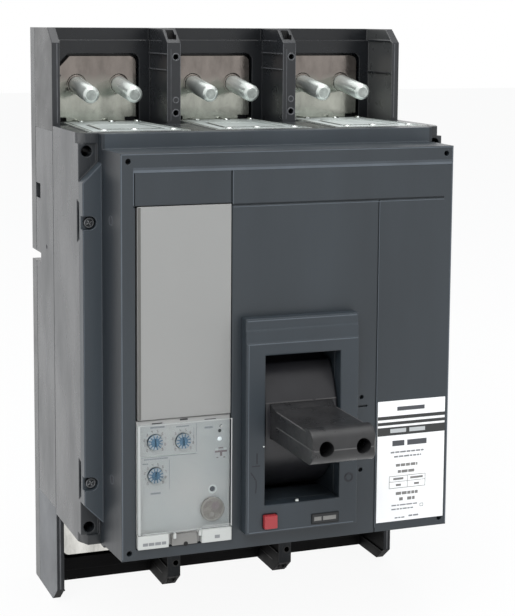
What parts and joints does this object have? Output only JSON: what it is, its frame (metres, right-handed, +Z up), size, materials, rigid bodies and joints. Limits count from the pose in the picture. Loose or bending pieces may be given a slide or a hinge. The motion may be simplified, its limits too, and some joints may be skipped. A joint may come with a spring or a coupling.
{
  "type": "molded case circuit breaker",
  "caption": "Three-pole molded case circuit breaker with a toggle handle, trip unit with dials, vented top and partitioned bolt terminals.",
  "frame": {"origin": "middle of the flat back, on the face that meets the mounting plate", "axes": "+X across the poles to the right, +Y into the mounting plate, +Z up; the front faces -Y"},
  "size_m": [0.21, 0.21, 0.327],
  "materials": {
    "case_dark": "moulded, fine texture",
    "case_slate": "moulded, satin",
    "cover_slate": "moulded, satin",
    "panel_grey": "moulded, satin",
    "unit_grey": "moulded, satin",
    "seal_grey": "moulded, satin",
    "strip_white": "moulded, satin",
    "dial_blue": "moulded",
    "clear": "clear moulded plastic, polished",
    "toggle_black": "moulded, satin",
    "button_red": "moulded",
    "label_white": "printed film",
    "label_black": "printed film",
    "steel": "zinc plated",
    "screw_black": "blackened",
    "galvanised": "galvanised sheet",
    "tinned": "tinned copper",
    "zinc": "bright zinc plated"
  },
  "bodies": {
    "breaker": {"rear_plate": "case_dark", "base": "case_slate", "upper_terminal_housing": "case_dark", "lower_terminal_housing": "case_dark", "middle_case": "case_slate", "front_cover": "cover_slate", "blank_panel": "panel_grey", "trip_unit": "unit_grey", "seal_cap": "seal_grey", "left_strip": "strip_white", "latch_tab": "unit_grey", "right_strip": "strip_white", "escutcheon": "cover_slate", "pivot_pin": "steel", "nameplate": "label_white", "rating_strip": "label_black", "upper_vent_plate_1": "galvanised", "upper_vent_plate_2": "galvanised", "upper_vent_plate_3": "galvanised", "lower_vent_plate_1": "galvanised", "lower_vent_plate_2": "galvanised", "lower_vent_plate_3": "galvanised", "upper_terminal_1": "tinned", "upper_terminal_2": "tinned", "upper_terminal_3": "tinned", "lower_terminal_1": "tinned", "lower_terminal_2": "tinned", "lower_terminal_3": "tinned", "upper_bolts_1": "zinc", "upper_bolts_2": "zinc", "upper_bolts_3": "zinc", "lower_bolts_1": "zinc", "lower_bolts_2": "zinc", "lower_bolts_3": "zinc", "flange_screws": "steel", "cover_screws": "screw_black"},
    "toggle": {"barrel": "toggle_black", "handle": "toggle_black"},
    "trip_button": {"trip_button": "button_red"},
    "clear_cover": {"clear_trip_cover": "clear"},
    "dial_1": {"dial_1": "dial_blue"},
    "dial_2": {"dial_2": "dial_blue"},
    "dial_3": {"dial_3": "dial_blue"}
  },
  "joints": [
    {"name": "toggle_throw", "type": "hinge", "parent": "breaker", "child": "toggle", "pos_m": [0.0035, -0.1085, -0.041], "axis": [-1, 0, 0], "range_deg": [-30, 25]},
    {"name": "trip_press", "type": "slide", "parent": "breaker", "child": "trip_button", "axis": [0, 1, 0], "range_m": [0, 0.003], "stiffness_N_per_m": 300, "springref_m": -0.002},
    {"name": "clear_cover_swing", "type": "hinge", "parent": "breaker", "child": "clear_cover", "pos_m": [-0.0595, -0.14865, -0.09415], "axis": [1, 0, 0], "range_deg": [0, 90]},
    {"name": "dial_1_turn", "type": "hinge", "parent": "breaker", "child": "dial_1", "pos_m": [-0.075, -0.1458, -0.047], "axis": [0, 1, 0], "range_deg": [-120, 120]},
    {"name": "dial_2_turn", "type": "hinge", "parent": "breaker", "child": "dial_2", "pos_m": [-0.0598, -0.1458, -0.0476], "axis": [0, 1, 0], "range_deg": [-120, 120]},
    {"name": "dial_3_turn", "type": "hinge", "parent": "breaker", "child": "dial_3", "pos_m": [-0.0748, -0.1458, -0.0645], "axis": [0, 1, 0], "range_deg": [-120, 120]}
  ]
}
